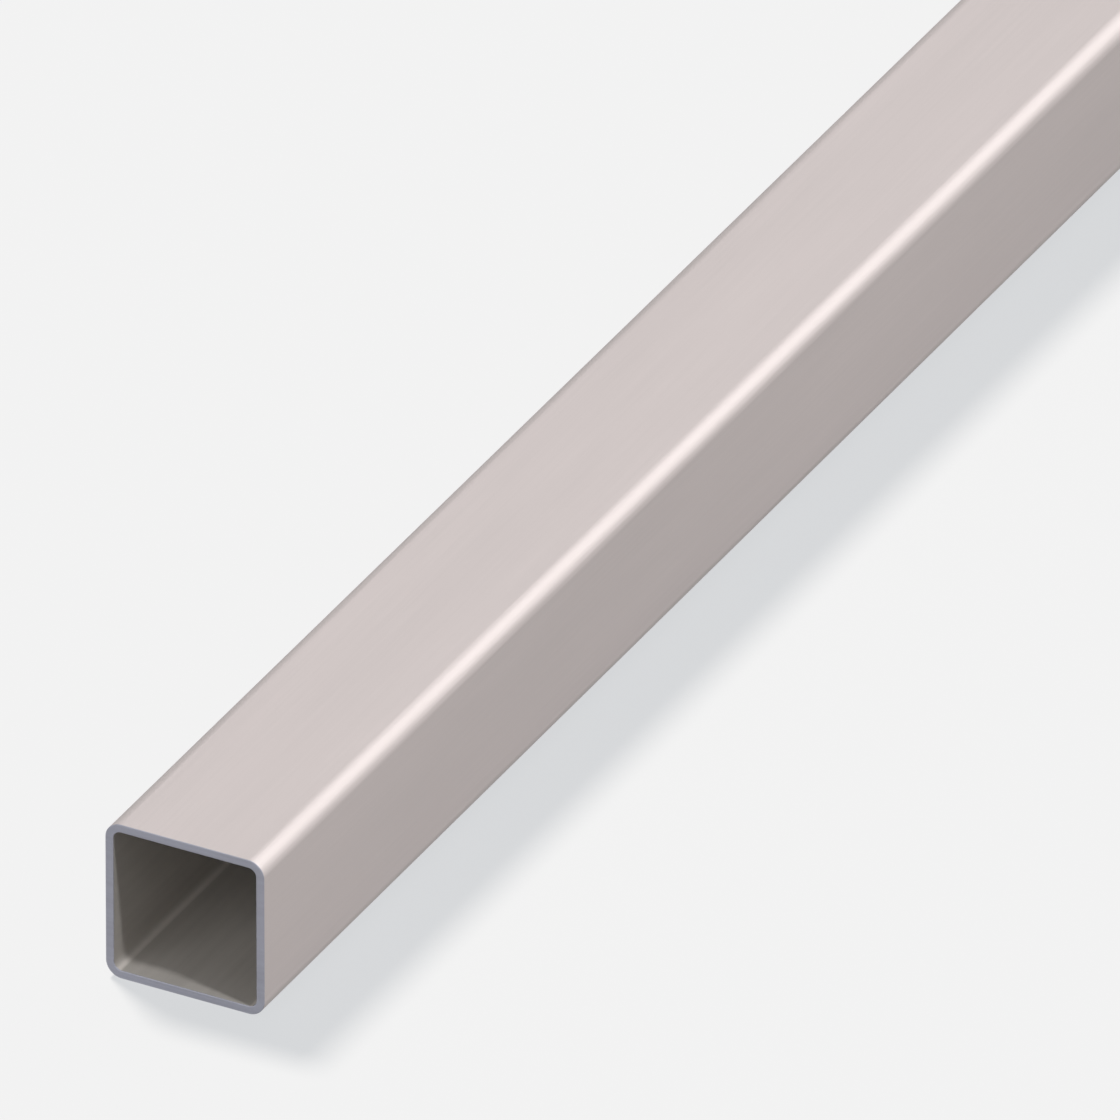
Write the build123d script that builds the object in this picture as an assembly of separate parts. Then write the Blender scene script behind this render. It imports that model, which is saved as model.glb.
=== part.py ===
from build123d import *
import os

# Square metal tube: one roll-formed piece with an even wall and rounded corners, sawn square at both ends.
# It lies along Y, with its bottom face on Z = 0 and the middle of its length at Y = 0. Millimetres.

# Driving dimensions
side = 20.0  # outside width and height of the section
wall = 1.0  # wall thickness, the same on the flats and round the bends
inside_bend_radius = 1.0  # inside of each bent corner
length = 1000.0  # from sawn end to sawn end
edge_break = 0.1  # rounding left by deburring the sawn edges

# Sizes that follow
outside_bend_radius = inside_bend_radius + wall
inside_side = side - 2 * wall
largest_edge_break = wall / 3  # keeps flat metal between the rounded edges of a sawn end


def tube_section():
    """The hollow section, drawn on the plane of the rear end with its bottom flat on Z = 0."""
    rear_end_plane = Plane.XZ.offset(-length / 2)
    with BuildSketch(rear_end_plane) as section:
        with Locations((0, side / 2)):
            RectangleRounded(side, side, outside_bend_radius)
            RectangleRounded(inside_side, inside_side, inside_bend_radius, mode=Mode.SUBTRACT)
    return section.sketch


def square_tube():
    """The section drawn out to the stock length, with the edges of both sawn ends broken."""
    with BuildPart() as tube:
        extrude(tube_section(), amount=length)
        sawn_ends = tube.faces().filter_by(Axis.Y)
        fillet(sawn_ends.edges(), min(edge_break, largest_edge_break))
    return tube.part


os.makedirs("parts", exist_ok=True)
export_step(square_tube(), "parts/square_tube.step")
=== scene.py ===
import math
from collections import namedtuple

import bpy
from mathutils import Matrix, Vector


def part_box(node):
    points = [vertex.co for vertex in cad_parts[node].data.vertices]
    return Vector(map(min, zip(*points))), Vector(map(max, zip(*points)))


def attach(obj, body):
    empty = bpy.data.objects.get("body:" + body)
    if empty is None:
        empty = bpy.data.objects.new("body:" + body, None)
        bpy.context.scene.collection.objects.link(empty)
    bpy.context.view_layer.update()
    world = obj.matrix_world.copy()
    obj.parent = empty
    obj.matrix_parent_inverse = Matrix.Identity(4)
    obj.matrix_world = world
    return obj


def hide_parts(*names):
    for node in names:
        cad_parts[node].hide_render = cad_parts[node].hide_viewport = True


# The square metal tube lies along Y on the floor, with its near end at the lowest Y. Metres.
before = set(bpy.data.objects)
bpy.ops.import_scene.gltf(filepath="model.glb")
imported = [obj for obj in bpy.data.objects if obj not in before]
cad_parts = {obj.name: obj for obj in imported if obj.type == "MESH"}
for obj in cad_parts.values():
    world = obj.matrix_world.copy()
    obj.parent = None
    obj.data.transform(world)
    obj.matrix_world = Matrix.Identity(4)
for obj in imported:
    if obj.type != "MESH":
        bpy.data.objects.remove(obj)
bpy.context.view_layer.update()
tube_low, tube_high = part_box("square_tube")
tube_middle = (tube_low + tube_high) / 2
tube_half = (tube_high - tube_low) / 2

# Sizes of the tube that its box doesn't give
WALL = 0.0010  # thickness of the metal
INSIDE_BEND = 0.0010  # inside radius of each bent corner
OUTSIDE_BEND = INSIDE_BEND + WALL
EDGE_BREAK = 0.0001  # rounding of the sawn edges, left by deburring
BEND_STEPS = 32  # facets round each bent corner
BREAK_STEPS = 4  # facets round each deburred edge
QUARTER_TURN = math.pi / 2

# Camera: a very long lens, so that long edges stay almost parallel
CAMERA_AZIMUTH = math.radians(27.86)
CAMERA_ELEVATION = math.radians(31.07)
LENS_MM = 1650.0
SENSOR_MM = 36.0
PICTURE_WIDTH = 0.12445  # what the picture spans at the tube's near end
AIM_RIGHT = 0.04170  # from the middle of the near end to the middle of the picture
AIM_UP = 0.03996
CLIP_FACTOR = 2  # how far the camera sees, in distances to the near end

# Colours of the metal, linear
SKIN_COLOUR = (0.592, 0.533, 0.522)
SAWN_COLOUR = (0.346, 0.352, 0.414)
BORE_COLOUR = (0.518, 0.491, 0.460)
BEND_HIGHLIGHT_COLOUR = (0.765, 0.718, 0.677)  # painted highlight: a paler line inside the bends, standing in for light caught there
BEND_HIGHLIGHT_POWER = 5  # the higher, the nearer that painted highlight lies to the bore's floor and roof

# Gloss and grain of the metal
METALLIC = 0.35
ROUGHNESS = 0.50
GLOSS_TINT = 0.45  # share left of the matt layer's gloss, and of the metal's at grazing angles
NOISE_DETAIL = 3.0
NOISE_LOW = 0.3  # a noise stays mostly between these two
NOISE_HIGH = 0.7

# The floor, and the backdrop behind it
BACKGROUND = (0.890, 0.890, 0.890)
SHADE = (0.720, 0.735, 0.752)  # share of it that is the floor's own light, and stays in the shadow
FLOOR_MATT = 0.10  # share of its lamp's light that the floor adds to that
FLOOR_BOUNCE = 0.065  # share of any light that the floor sends back to matt surfaces
FLOOR_REACH = 12.0  # from the floor's middle to each of its sides

# Light: at a strength of 1 a matt white surface that faces the lamp is as bright as white paper
AMBIENT = 0.35
Lamp = namedtuple("Lamp", "towards strength spread gloss_only", defaults=[False])  # spread in degrees

# Places of the three materials in the tube's mesh
SKIN, SAWN, BORE = range(3)

# A ring of the tube's surface: how far it lies in from the outside, its place along the tube, how far its
# normals point out and along the tube, and the material of the faces up to the next ring
Ring = namedtuple("Ring", "inset y out along material")


def direction(x, y, z):
    """Unit vector from the tube towards a lamp."""
    return Vector((x, y, z)).normalized()


# The edge lamp and the wide lamp make the bright line along the upper edge, and its soft flanks
HIGHLIGHT = direction(0.345, 0.757, 0.555)
TUBE_LAMPS = {
    "main_lamp": Lamp(direction(0.548, -0.110, 0.829), strength=0.42, spread=4.0),
    "edge_lamp": Lamp(HIGHLIGHT, strength=0.39, spread=50.0, gloss_only=True),
    "wide_lamp": Lamp(HIGHLIGHT, strength=0.36, spread=90.0, gloss_only=True),
    "front_lamp": Lamp(direction(-0.12, -0.92, 0.36), strength=0.39, spread=60.0),
    "side_lamp": Lamp(direction(1.0, 0.3, 0.15), strength=0.06, spread=30.0),
}
FLOOR_LAMP = Lamp(direction(-0.535, 0.335, 1.0), strength=1.0, spread=13.0)


def grey(value):
    """A colour with three equal parts."""
    return (value, value, value)


def new_material(name):
    """An empty node material, with its nodes and links."""
    material = bpy.data.materials.new(name)
    material.use_nodes = True
    nodes = material.node_tree.nodes
    nodes.clear()
    return material, nodes, material.node_tree.links


def add_node(nodes, kind, **values):
    """A node with some of its own settings."""
    node = nodes.new(kind)
    for name, value in values.items():
        setattr(node, name, value)
    return node


def stretched_noise(nodes, links, scale, stretch):
    """Noise in the tube's own coordinates. A stretch under 1 draws it out along that axis."""
    place = add_node(nodes, "ShaderNodeTexCoord")
    mapping = add_node(nodes, "ShaderNodeMapping")
    mapping.inputs["Scale"].default_value = stretch
    noise = add_node(nodes, "ShaderNodeTexNoise")
    noise.inputs["Scale"].default_value = scale
    noise.inputs["Detail"].default_value = NOISE_DETAIL
    links.new(place.outputs["Object"], mapping.inputs["Vector"])
    links.new(mapping.outputs["Vector"], noise.inputs["Vector"])
    return noise.outputs["Fac"]


def spread_colour(nodes, links, factor, colour, amount):
    """A colour that goes from darker to lighter, by a share of itself, as a factor goes up."""
    ramp = add_node(nodes, "ShaderNodeValToRGB")
    low, high = ramp.color_ramp.elements
    low.position = NOISE_LOW
    high.position = NOISE_HIGH
    low.color = (*[part * (1 - amount) for part in colour], 1)
    high.color = (*[part * (1 + amount) for part in colour], 1)
    links.new(factor, ramp.inputs["Fac"])
    return ramp.outputs["Color"]


def spread_value(nodes, links, factor, value, amount):
    """A number that goes from below to above a value as a factor goes up."""
    mapped = add_node(nodes, "ShaderNodeMapRange")
    mapped.inputs["From Min"].default_value = NOISE_LOW
    mapped.inputs["From Max"].default_value = NOISE_HIGH
    mapped.inputs["To Min"].default_value = value - amount
    mapped.inputs["To Max"].default_value = value + amount
    links.new(factor, mapped.inputs["Value"])
    return mapped.outputs["Result"]


def bump(nodes, links, height, depth):
    """A bump normal from a height pattern, with its depth in metres."""
    node = add_node(nodes, "ShaderNodeBump")
    node.inputs["Strength"].default_value = 1.0
    node.inputs["Distance"].default_value = depth
    links.new(height, node.inputs["Height"])
    return node.outputs["Normal"]


def maths(nodes, links, operation, first, second=0):
    """What an operation makes of a socket and, where it takes two, a number or another socket."""
    node = add_node(nodes, "ShaderNodeMath", operation=operation)
    links.new(first, node.inputs[0])
    if isinstance(second, (int, float)):
        node.inputs[1].default_value = second
    else:
        links.new(second, node.inputs[1])
    return node.outputs["Value"]


def bend_reach(nodes, links, place, middle, half):
    """How far into the inside bends a place lies along one axis: 0 where they begin, 1 at the flat."""
    from_middle = maths(nodes, links, "SUBTRACT", place, middle)
    distance = maths(nodes, links, "ABSOLUTE", from_middle)
    past = maths(nodes, links, "SUBTRACT", distance, half - OUTSIDE_BEND)
    share = maths(nodes, links, "DIVIDE", past, INSIDE_BEND)
    return maths(nodes, links, "MAXIMUM", share, 0)


def painted_bend_highlight(nodes, links):
    """Mask of the painted highlight inside the bends: 1 along a line inside each bend, fading to 0 at the
    flats.

    The line lies nearer to the bore's floor or roof than to its sides.
    """
    place = add_node(nodes, "ShaderNodeTexCoord")
    parts = add_node(nodes, "ShaderNodeSeparateXYZ")
    links.new(place.outputs["Object"], parts.inputs["Vector"])
    # Round a bend the two reaches are the cosine and the sine of an angle that is 0 at the sides
    cosine = bend_reach(nodes, links, parts.outputs["X"], tube_middle.x, tube_half.x)
    sine = bend_reach(nodes, links, parts.outputs["Z"], tube_middle.z, tube_half.z)
    power = BEND_HIGHLIGHT_POWER
    rise = maths(nodes, links, "POWER", sine, power)
    product = maths(nodes, links, "MULTIPLY", cosine, rise)
    # The most that the cosine times that power of the sine can be
    peak = math.sqrt(power ** power / (1 + power) ** (1 + power))
    return maths(nodes, links, "DIVIDE", product, peak)


def blended(nodes, links, factor, colour, other):
    """A colour that turns into another one as a factor goes from 0 to 1."""
    mix = add_node(nodes, "ShaderNodeMix", data_type="RGBA")
    links.new(factor, mix.inputs["Factor"])
    links.new(colour, mix.inputs["A"])
    mix.inputs["B"].default_value = (*other, 1)
    return mix.outputs["Result"]


def metal(name, colour, lines, clouds, grain, highlight_colour=None):
    """A satin metal with a grain of fine lines and broad clouds.

    lines and clouds are each the scale and the stretch of a noise. grain says how far both together
    move the colour and the roughness, and how deep the lines are.
    """
    material, nodes, links = new_material(name)
    output = add_node(nodes, "ShaderNodeOutputMaterial")
    shader = add_node(nodes, "ShaderNodeBsdfPrincipled")
    shader.inputs["Metallic"].default_value = METALLIC
    shader.inputs["Specular Tint"].default_value = (*grey(GLOSS_TINT), 1)
    line_pattern = stretched_noise(nodes, links, *lines)
    cloud_pattern = stretched_noise(nodes, links, *clouds)
    both = maths(nodes, links, "ADD", line_pattern, cloud_pattern)
    average = maths(nodes, links, "MULTIPLY", both, 0.5)
    shade = spread_colour(nodes, links, average, colour, grain["colour"])
    # Painted highlight: a paler line along the inside bends, with its glint at the mouth, stands in for
    # light caught there
    if highlight_colour:
        shade = blended(nodes, links, painted_bend_highlight(nodes, links), shade, highlight_colour)
    roughness = spread_value(nodes, links, average, ROUGHNESS, grain["roughness"])
    normal = bump(nodes, links, line_pattern, grain["depth"])
    links.new(shade, shader.inputs["Base Color"])
    links.new(roughness, shader.inputs["Roughness"])
    links.new(normal, shader.inputs["Normal"])
    links.new(shader.outputs["BSDF"], output.inputs["Surface"])
    return material


def skin_material():
    """Cold-rolled outside: warm grey, with a faint grain along the tube."""
    lines = (2400.0, (1, 0.02, 1))
    clouds = (130.0, (1, 0.12, 1))
    grain = {"colour": 0.036, "roughness": 0.05, "depth": 2e-5}
    return metal("rolled_skin", SKIN_COLOUR, lines, clouds, grain)


def sawn_material():
    """Bare metal of the cut: bluish grey, with fine saw marks across the section."""
    lines = (2600.0, (0.02, 1, 1))
    clouds = (300.0, (0.3, 1, 1))
    grain = {"colour": 0.10, "roughness": 0.10, "depth": 5e-5}
    return metal("sawn_end", SAWN_COLOUR, lines, clouds, grain)


def bore_material():
    """Inside of the tube: darker than the outside, with a painted highlight along the bends."""
    lines = (1500.0, (1, 0.03, 1))
    clouds = (220.0, (1, 0.3, 1))
    grain = {"colour": 0.07, "roughness": 0.06, "depth": 2e-5}
    return metal("bore_skin", BORE_COLOUR, lines, clouds, grain, BEND_HIGHLIGHT_COLOUR)


def section_loop(inset):
    """The points and outward normals of the section's outline, moved inwards by an inset."""
    radius = OUTSIDE_BEND - inset
    reach_x = tube_half.x - OUTSIDE_BEND
    reach_z = tube_half.z - OUTSIDE_BEND
    loop = []
    for quarter, (side_x, side_z) in enumerate([(1, 1), (-1, 1), (-1, -1), (1, -1)]):
        centre = Vector((tube_middle.x + side_x * reach_x, 0, tube_middle.z + side_z * reach_z))
        for step in range(BEND_STEPS + 1):
            angle = QUARTER_TURN * (quarter + step / BEND_STEPS)
            out = Vector((math.cos(angle), 0, math.sin(angle)))
            loop.append((centre + out * radius, out))
    return loop


def rounded_edge(end_y, along, inside, turns):
    """Rings round one deburred edge of an end. along is 1 at the far end, and -1 at the near one.

    A turn of 0 lies on the tube's wall, and a quarter turn on the cut.
    """
    rings = []
    for turn in turns:
        depth = EDGE_BREAK * (1 - math.cos(turn))
        inset = WALL - depth if inside else depth
        y = end_y - along * EDGE_BREAK * (1 - math.sin(turn))
        out = -math.cos(turn) if inside else math.cos(turn)
        rings.append(Ring(inset, y, out, along * math.sin(turn), SAWN))
    return rings


def tube_rings():
    """The rings that the tube's surface runs through, until it meets itself.

    It turns round the far end's wall into the bore, follows the bore to the near end, turns round the
    wall there and comes back along the outside.
    """
    turns = [QUARTER_TURN * step / BREAK_STEPS for step in range(BREAK_STEPS + 1)]
    turns_back = turns[::-1]
    far_y = tube_high.y
    near_y = tube_low.y
    far_end = rounded_edge(far_y, 1, False, turns) + rounded_edge(far_y, 1, True, turns_back)
    near_end = rounded_edge(near_y, -1, True, turns) + rounded_edge(near_y, -1, False, turns_back)
    far_end[-1] = far_end[-1]._replace(material=BORE)
    near_end[-1] = near_end[-1]._replace(material=SKIN)
    return far_end + near_end


def build_tube(materials):
    """The whole tube as one closed mesh, with exact normals so that flats and bends shade smoothly."""
    rings = tube_rings()
    points = []
    normals = []
    for ring in rings:
        for point, normal in section_loop(ring.inset):
            points.append((point.x, ring.y, point.z))
            normals.append((normal * ring.out + Vector((0, ring.along, 0))).normalized())
    per_ring = len(points) // len(rings)
    faces = []
    face_materials = []
    for start, ring in enumerate(rings):
        following = (start + 1) % len(rings)
        for step in range(per_ring):
            beside = (step + 1) % per_ring
            faces.append((
                start * per_ring + step,
                following * per_ring + step,
                following * per_ring + beside,
                start * per_ring + beside,
            ))
            face_materials.append(ring.material)
    mesh = bpy.data.meshes.new("tube")
    mesh.from_pydata(points, [], faces)
    for material in materials:
        mesh.materials.append(material)
    mesh.polygons.foreach_set("material_index", face_materials)
    mesh.polygons.foreach_set("use_smooth", [True] * len(faces))
    mesh.normals_split_custom_set_from_vertices(normals)
    tube = bpy.data.objects.new("tube", mesh)
    bpy.context.scene.collection.objects.link(tube)
    return tube


def chosen(nodes, links, factor, otherwise, shader):
    """A shader where a factor is 1, and another one where it is 0."""
    mix = add_node(nodes, "ShaderNodeMixShader")
    links.new(factor, mix.inputs["Fac"])
    links.new(otherwise, mix.inputs[1])
    links.new(shader, mix.inputs[2])
    return mix.outputs["Shader"]


def seen_in_gloss(nodes, links, path):
    """1 for what is seen in gloss or through glass, and 0 for the rest."""
    in_gloss = path.outputs["Is Glossy Ray"]
    through_glass = path.outputs["Is Transmission Ray"]
    return maths(nodes, links, "MAXIMUM", in_gloss, through_glass)


def plain_shader(nodes, kind, colour):
    """The output of a shader node of one even colour."""
    node = add_node(nodes, kind)
    node.inputs["Color"].default_value = (*colour, 1)
    return node.outputs[0]


def floor_material():
    """The camera sees the floor with the tube's shadow, and gloss sees it plain.

    Matt surfaces get only a little of the light that falls on it.
    """
    material, nodes, links = new_material("pale_floor")
    output = add_node(nodes, "ShaderNodeOutputMaterial")
    path = add_node(nodes, "ShaderNodeLightPath")
    own_light = [part * share for part, share in zip(BACKGROUND, SHADE)]
    matt = [part * FLOOR_MATT for part in BACKGROUND]
    shaded = add_node(nodes, "ShaderNodeAddShader")
    links.new(plain_shader(nodes, "ShaderNodeEmission", own_light), shaded.inputs[0])
    links.new(plain_shader(nodes, "ShaderNodeBsdfDiffuse", matt), shaded.inputs[1])
    plain = plain_shader(nodes, "ShaderNodeEmission", BACKGROUND)
    dim = plain_shader(nodes, "ShaderNodeBsdfDiffuse", grey(FLOOR_BOUNCE))
    to_tube = chosen(nodes, links, seen_in_gloss(nodes, links, path), dim, plain)
    seen = chosen(nodes, links, path.outputs["Is Camera Ray"], to_tube, shaded.outputs["Shader"])
    links.new(seen, output.inputs["Surface"])
    return material


def build_floor():
    """A level floor, large enough to fill the pictures from low angles."""
    mesh = bpy.data.meshes.new("floor")
    signs = [(-1, -1), (1, -1), (1, 1), (-1, 1)]
    corners = [(FLOOR_REACH * x, FLOOR_REACH * y, 0) for x, y in signs]
    mesh.from_pydata(corners, [], [(0, 1, 2, 3)])
    mesh.materials.append(floor_material())
    floor = bpy.data.objects.new("floor", mesh)
    floor.location.z = tube_low.z
    bpy.context.scene.collection.objects.link(floor)
    return floor


def light_world():
    """A pale background for the camera and for gloss, and a dimmer, even light for matt surfaces."""
    world = bpy.data.worlds.new("studio")
    world.use_nodes = True
    nodes = world.node_tree.nodes
    links = world.node_tree.links
    nodes.clear()
    output = add_node(nodes, "ShaderNodeOutputWorld")
    path = add_node(nodes, "ShaderNodeLightPath")
    pale = plain_shader(nodes, "ShaderNodeBackground", BACKGROUND)
    ambient = plain_shader(nodes, "ShaderNodeBackground", grey(AMBIENT))
    to_tube = chosen(nodes, links, seen_in_gloss(nodes, links, path), ambient, pale)
    seen = chosen(nodes, links, path.outputs["Is Camera Ray"], to_tube, pale)
    links.new(seen, output.inputs["Surface"])
    bpy.context.scene.world = world


def add_lamp(name, lamp, lit, colour=(1, 1, 1)):
    """A far soft lamp that lights one object."""
    data = bpy.data.lights.new(name, "SUN")
    data.energy = math.pi * lamp.strength
    data.angle = math.radians(lamp.spread)
    data.color = colour
    light = bpy.data.objects.new(name, data)
    light.rotation_euler = lamp.towards.to_track_quat("Z", "Y").to_euler()
    light.location = lamp.towards
    light.visible_diffuse = not lamp.gloss_only
    bpy.context.scene.collection.objects.link(light)
    receivers = bpy.data.collections.new(name + "_lights")
    receivers.objects.link(lit)
    light.light_linking.receiver_collection = receivers


def floor_light():
    """The light that lifts the floor from its own light and the ambient light to the background."""
    lift = [(1 - share) / FLOOR_MATT - AMBIENT for share in SHADE]
    return [part / FLOOR_LAMP.towards.z for part in lift]


def add_camera():
    """The camera at the photograph's angle, aimed so that the near end lies in the lower left."""
    cos_elevation = math.cos(CAMERA_ELEVATION)
    back = Vector((
        math.sin(CAMERA_AZIMUTH) * cos_elevation,
        -math.cos(CAMERA_AZIMUTH) * cos_elevation,
        math.sin(CAMERA_ELEVATION),
    ))
    right = Vector((math.cos(CAMERA_AZIMUTH), math.sin(CAMERA_AZIMUTH), 0))
    up = back.cross(right)
    near_end = Vector((tube_middle.x, tube_low.y, tube_middle.z))
    distance = PICTURE_WIDTH * LENS_MM / SENSOR_MM
    data = bpy.data.cameras.new("camera")
    data.lens = LENS_MM
    data.sensor_width = SENSOR_MM
    data.clip_end = CLIP_FACTOR * distance
    camera = bpy.data.objects.new("camera", data)
    camera.location = near_end + AIM_RIGHT * right + AIM_UP * up + distance * back
    camera.rotation_euler = back.to_track_quat("Z", "Y").to_euler()
    bpy.context.scene.collection.objects.link(camera)
    bpy.context.scene.camera = camera


def main():
    """The tube, its floor, the light and the camera."""
    tube = build_tube([skin_material(), sawn_material(), bore_material()])
    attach(tube, "root")
    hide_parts("square_tube")
    floor = build_floor()
    light_world()
    for name, lamp in TUBE_LAMPS.items():
        add_lamp(name, lamp, tube)
    add_lamp("shadow_lamp", FLOOR_LAMP, floor, floor_light())
    add_camera()
    bpy.context.scene.view_settings.view_transform = "Standard"


main()
